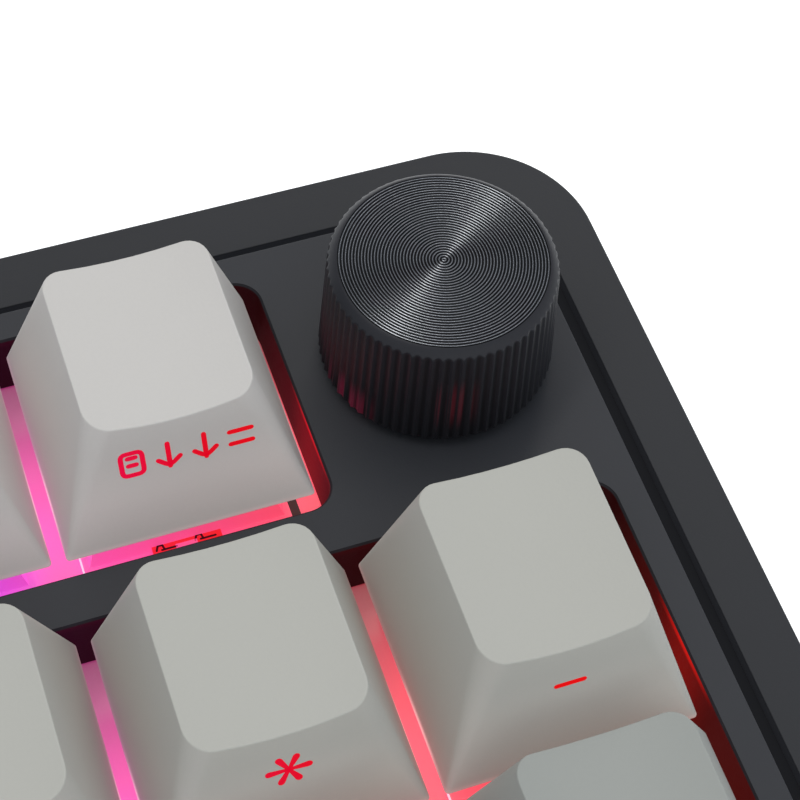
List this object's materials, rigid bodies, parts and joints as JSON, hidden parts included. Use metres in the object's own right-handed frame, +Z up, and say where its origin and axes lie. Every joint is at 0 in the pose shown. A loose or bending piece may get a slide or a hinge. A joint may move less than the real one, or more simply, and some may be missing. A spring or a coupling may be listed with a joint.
{
  "type": "gaming keyboard",
  "caption": "Mechanical keyboard with number pad: sculpted keycaps in bevelled wells, a turned rotary knob, a channel round the deck, flip-out feet and a rear socket.",
  "frame": {"origin": "middle of the keyboard's footprint, on the desk", "axes": "+X along the rows to the number pad, +Y to the rear, +Z up"},
  "size_m": [0.3854, 0.1418, 0.0441],
  "materials": {
    "case_shell": "fine matte",
    "trim": "satin",
    "plate": "satin powder coat",
    "foam": "matte foam",
    "board": "solder-masked laminate",
    "gasket": "soft matte",
    "switch_base": "moulded",
    "switch_cover": "clear moulded",
    "stabiliser": "moulded",
    "wire": "drawn wire",
    "led": "clear lens",
    "encoder": "pressed cover",
    "rotor": "moulded",
    "shaft": "turned",
    "insert": "moulded",
    "knob": "dark anodised, turned face",
    "socket": "plated shell",
    "screw": "machined",
    "pad": "matte",
    "foot": "fine matte",
    "tip": "matte",
    "keycap": "fine texture"
  },
  "bodies": {
    "case": {"top_case": "case_shell", "trim_ring": "trim", "bottom_case": "case_shell", "switch_plate": "plate", "plate_foam": "foam", "circuit_board": "board", "case_foam": "foam", "gasket_strips": "gasket", "switch_bottoms": "switch_base", "switch_tops": "switch_cover", "stabiliser_housings": "stabiliser", "stabiliser_wires": "wire", "key_leds": "led", "encoder_body": "encoder", "usb_socket": "socket", "case_screws": "screw", "rubber_pads": "pad"},
    "esc_key": {"esc_key": "keycap"},
    "function_keys": {"function_keys": "keycap"},
    "delete_key": {"delete_key": "keycap"},
    "home_key": {"home_key": "keycap"},
    "page_up_key": {"page_up_key": "keycap"},
    "page_down_key": {"page_down_key": "keycap"},
    "number_keys": {"number_keys": "keycap"},
    "backspace_key": {"backspace_key": "keycap"},
    "pad_lock_key": {"pad_lock_key": "keycap"},
    "pad_divide_key": {"pad_divide_key": "keycap"},
    "pad_multiply_key": {"pad_multiply_key": "keycap"},
    "pad_minus_key": {"pad_minus_key": "keycap"},
    "upper_keys": {"upper_keys": "keycap"},
    "enter_key": {"enter_key": "keycap"},
    "pad_7_key": {"pad_7_key": "keycap"},
    "pad_8_key": {"pad_8_key": "keycap"},
    "pad_9_key": {"pad_9_key": "keycap"},
    "pad_plus_key": {"pad_plus_key": "keycap"},
    "home_row_keys": {"home_row_keys": "keycap"},
    "pad_4_key": {"pad_4_key": "keycap"},
    "pad_5_key": {"pad_5_key": "keycap"},
    "pad_6_key": {"pad_6_key": "keycap"},
    "lower_keys": {"lower_keys": "keycap"},
    "up_key": {"up_key": "keycap"},
    "pad_1_key": {"pad_1_key": "keycap"},
    "pad_2_key": {"pad_2_key": "keycap"},
    "pad_3_key": {"pad_3_key": "keycap"},
    "pad_enter_key": {"pad_enter_key": "keycap"},
    "modifier_keys": {"modifier_keys": "keycap"},
    "space_key": {"space_key": "keycap"},
    "left_key": {"left_key": "keycap"},
    "down_key": {"down_key": "keycap"},
    "right_key": {"right_key": "keycap"},
    "pad_0_key": {"pad_0_key": "keycap"},
    "pad_point_key": {"pad_point_key": "keycap"},
    "rotor": {"encoder_rotor": "rotor"},
    "knob": {"encoder_shaft": "shaft", "knob_insert": "insert", "knob": "knob"},
    "left_foot": {"left_foot": "foot", "left_foot_tip": "tip"},
    "right_foot": {"right_foot": "foot", "right_foot_tip": "tip"}
  },
  "joints": [
    {"name": "esc_press", "type": "slide", "parent": "case", "child": "esc_key", "axis": [0, 0.1045, -0.9945], "range_m": [0, 0.004], "stiffness_N_per_m": 90, "springref_m": -0.0035},
    {"name": "function_press", "type": "slide", "parent": "case", "child": "function_keys", "axis": [0, 0.1045, -0.9945], "range_m": [0, 0.004], "stiffness_N_per_m": 1080, "springref_m": -0.0035},
    {"name": "delete_press", "type": "slide", "parent": "case", "child": "delete_key", "axis": [0, 0.1045, -0.9945], "range_m": [0, 0.004], "stiffness_N_per_m": 90, "springref_m": -0.0035},
    {"name": "home_press", "type": "slide", "parent": "case", "child": "home_key", "axis": [0, 0.1045, -0.9945], "range_m": [0, 0.004], "stiffness_N_per_m": 90, "springref_m": -0.0035},
    {"name": "page_up_press", "type": "slide", "parent": "case", "child": "page_up_key", "axis": [0, 0.1045, -0.9945], "range_m": [0, 0.004], "stiffness_N_per_m": 90, "springref_m": -0.0035},
    {"name": "page_down_press", "type": "slide", "parent": "case", "child": "page_down_key", "axis": [0, 0.1045, -0.9945], "range_m": [0, 0.004], "stiffness_N_per_m": 90, "springref_m": -0.0035},
    {"name": "number_press", "type": "slide", "parent": "case", "child": "number_keys", "axis": [0, 0.1045, -0.9945], "range_m": [0, 0.004], "stiffness_N_per_m": 1170, "springref_m": -0.0035},
    {"name": "backspace_press", "type": "slide", "parent": "case", "child": "backspace_key", "axis": [0, 0.1045, -0.9945], "range_m": [0, 0.004], "stiffness_N_per_m": 90, "springref_m": -0.0035},
    {"name": "pad_lock_press", "type": "slide", "parent": "case", "child": "pad_lock_key", "axis": [0, 0.1045, -0.9945], "range_m": [0, 0.004], "stiffness_N_per_m": 90, "springref_m": -0.0035},
    {"name": "pad_divide_press", "type": "slide", "parent": "case", "child": "pad_divide_key", "axis": [0, 0.1045, -0.9945], "range_m": [0, 0.004], "stiffness_N_per_m": 90, "springref_m": -0.0035},
    {"name": "pad_multiply_press", "type": "slide", "parent": "case", "child": "pad_multiply_key", "axis": [0, 0.1045, -0.9945], "range_m": [0, 0.004], "stiffness_N_per_m": 90, "springref_m": -0.0035},
    {"name": "pad_minus_press", "type": "slide", "parent": "case", "child": "pad_minus_key", "axis": [0, 0.1045, -0.9945], "range_m": [0, 0.004], "stiffness_N_per_m": 90, "springref_m": -0.0035},
    {"name": "upper_press", "type": "slide", "parent": "case", "child": "upper_keys", "axis": [0, 0.1045, -0.9945], "range_m": [0, 0.004], "stiffness_N_per_m": 1170, "springref_m": -0.0035},
    {"name": "enter_press", "type": "slide", "parent": "case", "child": "enter_key", "axis": [0, 0.1045, -0.9945], "range_m": [0, 0.004], "stiffness_N_per_m": 90, "springref_m": -0.0035},
    {"name": "pad_7_press", "type": "slide", "parent": "case", "child": "pad_7_key", "axis": [0, 0.1045, -0.9945], "range_m": [0, 0.004], "stiffness_N_per_m": 90, "springref_m": -0.0035},
    {"name": "pad_8_press", "type": "slide", "parent": "case", "child": "pad_8_key", "axis": [0, 0.1045, -0.9945], "range_m": [0, 0.004], "stiffness_N_per_m": 90, "springref_m": -0.0035},
    {"name": "pad_9_press", "type": "slide", "parent": "case", "child": "pad_9_key", "axis": [0, 0.1045, -0.9945], "range_m": [0, 0.004], "stiffness_N_per_m": 90, "springref_m": -0.0035},
    {"name": "pad_plus_press", "type": "slide", "parent": "case", "child": "pad_plus_key", "axis": [0, 0.1045, -0.9945], "range_m": [0, 0.004], "stiffness_N_per_m": 90, "springref_m": -0.0035},
    {"name": "home_row_press", "type": "slide", "parent": "case", "child": "home_row_keys", "axis": [0, 0.1045, -0.9945], "range_m": [0, 0.004], "stiffness_N_per_m": 1170, "springref_m": -0.0035},
    {"name": "pad_4_press", "type": "slide", "parent": "case", "child": "pad_4_key", "axis": [0, 0.1045, -0.9945], "range_m": [0, 0.004], "stiffness_N_per_m": 90, "springref_m": -0.0035},
    {"name": "pad_5_press", "type": "slide", "parent": "case", "child": "pad_5_key", "axis": [0, 0.1045, -0.9945], "range_m": [0, 0.004], "stiffness_N_per_m": 90, "springref_m": -0.0035},
    {"name": "pad_6_press", "type": "slide", "parent": "case", "child": "pad_6_key", "axis": [0, 0.1045, -0.9945], "range_m": [0, 0.004], "stiffness_N_per_m": 90, "springref_m": -0.0035},
    {"name": "lower_press", "type": "slide", "parent": "case", "child": "lower_keys", "axis": [0, 0.1045, -0.9945], "range_m": [0, 0.004], "stiffness_N_per_m": 1170, "springref_m": -0.0035},
    {"name": "up_press", "type": "slide", "parent": "case", "child": "up_key", "axis": [0, 0.1045, -0.9945], "range_m": [0, 0.004], "stiffness_N_per_m": 90, "springref_m": -0.0035},
    {"name": "pad_1_press", "type": "slide", "parent": "case", "child": "pad_1_key", "axis": [0, 0.1045, -0.9945], "range_m": [0, 0.004], "stiffness_N_per_m": 90, "springref_m": -0.0035},
    {"name": "pad_2_press", "type": "slide", "parent": "case", "child": "pad_2_key", "axis": [0, 0.1045, -0.9945], "range_m": [0, 0.004], "stiffness_N_per_m": 90, "springref_m": -0.0035},
    {"name": "pad_3_press", "type": "slide", "parent": "case", "child": "pad_3_key", "axis": [0, 0.1045, -0.9945], "range_m": [0, 0.004], "stiffness_N_per_m": 90, "springref_m": -0.0035},
    {"name": "pad_enter_press", "type": "slide", "parent": "case", "child": "pad_enter_key", "axis": [0, 0.1045, -0.9945], "range_m": [0, 0.004], "stiffness_N_per_m": 90, "springref_m": -0.0035},
    {"name": "modifier_press", "type": "slide", "parent": "case", "child": "modifier_keys", "axis": [0, 0.1045, -0.9945], "range_m": [0, 0.004], "stiffness_N_per_m": 540, "springref_m": -0.0035},
    {"name": "space_press", "type": "slide", "parent": "case", "child": "space_key", "axis": [0, 0.1045, -0.9945], "range_m": [0, 0.004], "stiffness_N_per_m": 90, "springref_m": -0.0035},
    {"name": "left_press", "type": "slide", "parent": "case", "child": "left_key", "axis": [0, 0.1045, -0.9945], "range_m": [0, 0.004], "stiffness_N_per_m": 90, "springref_m": -0.0035},
    {"name": "down_press", "type": "slide", "parent": "case", "child": "down_key", "axis": [0, 0.1045, -0.9945], "range_m": [0, 0.004], "stiffness_N_per_m": 90, "springref_m": -0.0035},
    {"name": "right_press", "type": "slide", "parent": "case", "child": "right_key", "axis": [0, 0.1045, -0.9945], "range_m": [0, 0.004], "stiffness_N_per_m": 90, "springref_m": -0.0035},
    {"name": "pad_0_press", "type": "slide", "parent": "case", "child": "pad_0_key", "axis": [0, 0.1045, -0.9945], "range_m": [0, 0.004], "stiffness_N_per_m": 90, "springref_m": -0.0035},
    {"name": "pad_point_press", "type": "slide", "parent": "case", "child": "pad_point_key", "axis": [0, 0.1045, -0.9945], "range_m": [0, 0.004], "stiffness_N_per_m": 90, "springref_m": -0.0035},
    {"name": "knob_turn", "type": "hinge", "parent": "case", "child": "rotor", "pos_m": [0.17603, 0.04826, 0.03243], "axis": [0, -0.1045, 0.9945], "continuous": true},
    {"name": "knob_press", "type": "slide", "parent": "rotor", "child": "knob", "axis": [0, 0.1045, -0.9945], "range_m": [0, 0.0004], "stiffness_N_per_m": 800, "springref_m": -0.0015},
    {"name": "left_foot_fold", "type": "hinge", "parent": "case", "child": "left_foot", "pos_m": [-0.14, 0.05593, 0.0037], "axis": [1, 0, 0], "range_deg": [0, 95]},
    {"name": "right_foot_fold", "type": "hinge", "parent": "case", "child": "right_foot", "pos_m": [0.14, 0.05593, 0.0037], "axis": [1, 0, 0], "range_deg": [0, 95]}
  ]
}
